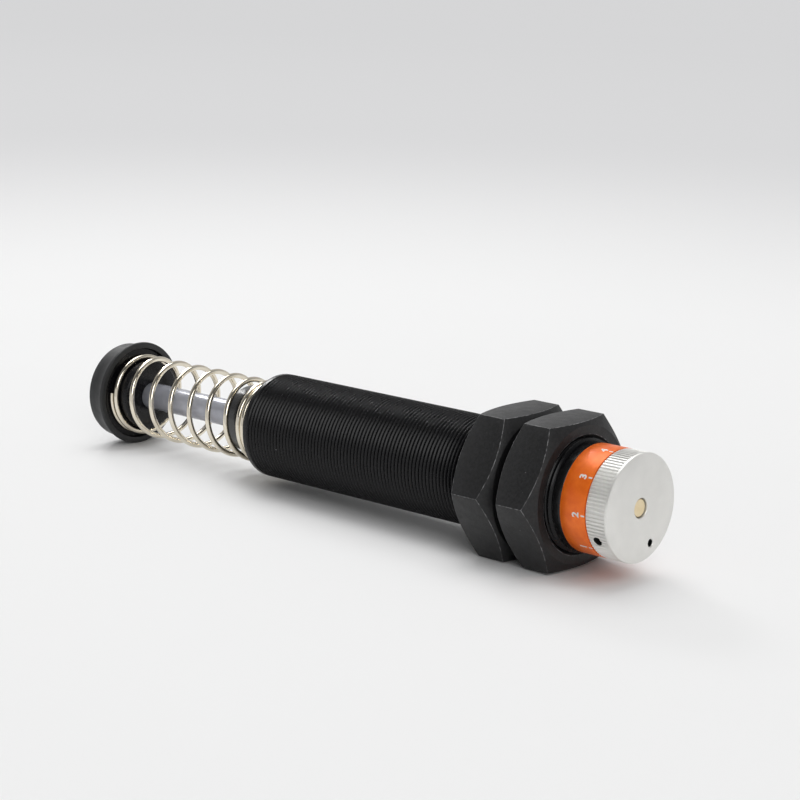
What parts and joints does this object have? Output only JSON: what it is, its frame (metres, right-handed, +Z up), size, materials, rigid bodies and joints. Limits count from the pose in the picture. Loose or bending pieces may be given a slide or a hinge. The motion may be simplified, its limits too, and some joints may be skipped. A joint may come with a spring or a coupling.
{
  "type": "industrial shock absorber",
  "caption": "Threaded-body adjustable hydraulic shock absorber with a capped spring-return rod, hexagon lock nuts, and a knurled damping knob over a numbered dial ring.",
  "frame": {"origin": "centre of the body's front face, the face the return spring sits on, on the stroke axis", "axes": "+X along the stroke axis from the impact head to the adjuster knob, +Z up, with two flats of each lock nut level"},
  "size_m": [0.2375, 0.0532, 0.046],
  "materials": {
    "black_oxide": "black oxide on steel, satin, faintly worn on crests and corners",
    "gloss_black": "smooth black oxide, turned, glossy",
    "nickel_spring": "nickel-plated spring wire, bright",
    "chrome_rod": "hard chrome, ground",
    "grey_polymer": "moulded dark grey polymer, matte",
    "orange_anodised": "orange coating, satin, with white scale marks",
    "satin_aluminium": "satin, turned face and knurled rim",
    "brass_shaft": "turned brass",
    "bronze": "turned bearing bronze",
    "seal_rubber": "moulded nitrile, matte",
    "inner_steel": "machined steel",
    "foam": "closed-cell foam",
    "black_screw": "black oxide screw"
  },
  "bodies": {
    "cylinder": {"outer_tube": "black_oxide", "front_gland": "gloss_black", "rod_bearing": "bronze", "rod_wiper": "seal_rubber", "rod_seal": "seal_rubber", "gland_oring": "seal_rubber", "seal_retainer": "inner_steel", "pressure_tube": "inner_steel", "accumulator_foam": "foam", "return_spring": "nickel_spring", "rear_plug": "gloss_black", "plug_oring": "seal_rubber", "orifice_seat": "inner_steel", "needle_pin": "inner_steel", "shaft_oring": "seal_rubber", "shaft_circlip": "inner_steel", "filler_screw": "black_screw", "dial_ring": "orange_anodised"},
    "rod": {"piston_rod": "chrome_rod", "piston": "bronze", "piston_ring": "bronze", "piston_nut": "inner_steel", "spring_seat": "gloss_black", "bumper_cap": "grey_polymer", "head_screw": "black_screw"},
    "check_valve": {"check_plate": "inner_steel"},
    "adjuster": {"adjuster_knob": "satin_aluminium", "adjuster_shaft": "brass_shaft", "knob_set_screw": "black_screw", "knob_lock_screw": "black_screw"},
    "needle": {"metering_needle": "inner_steel"},
    "nut_front": {"lock_nut_front": "black_oxide"},
    "nut_rear": {"lock_nut_rear": "black_oxide"}
  },
  "joints": [
    {"name": "rod_stroke", "type": "slide", "parent": "cylinder", "child": "rod", "axis": [1, 0, 0], "range_m": [0, 0.05], "stiffness_N_per_m": 760, "springref_m": -0.0375, "deforming": ["return_spring", "accumulator_foam"]},
    {"name": "check_plate_lift", "type": "slide", "parent": "rod", "child": "check_valve", "axis": [1, 0, 0], "range_m": [0, 0.001]},
    {"name": "adjuster_turn", "type": "hinge", "parent": "cylinder", "child": "adjuster", "pos_m": [0.152, 0, 0], "axis": [-1, 0, 0], "range_deg": [-13, 267]},
    {"name": "needle_travel", "type": "slide", "parent": "cylinder", "child": "needle", "axis": [-1, 0, 0], "range_m": [-0.00005, 0.00075]},
    {"name": "nut_front_slide", "type": "slide", "parent": "cylinder", "child": "nut_front", "axis": [1, 0, 0], "range_m": [-0.0975, 0.001]},
    {"name": "nut_rear_slide", "type": "slide", "parent": "cylinder", "child": "nut_rear", "axis": [1, 0, 0], "range_m": [-0.001, 0.0014]}
  ],
  "couplings": [
    {"joint": "needle_travel", "follows": "adjuster_turn", "m_per_rad": 0.00015915}
  ]
}
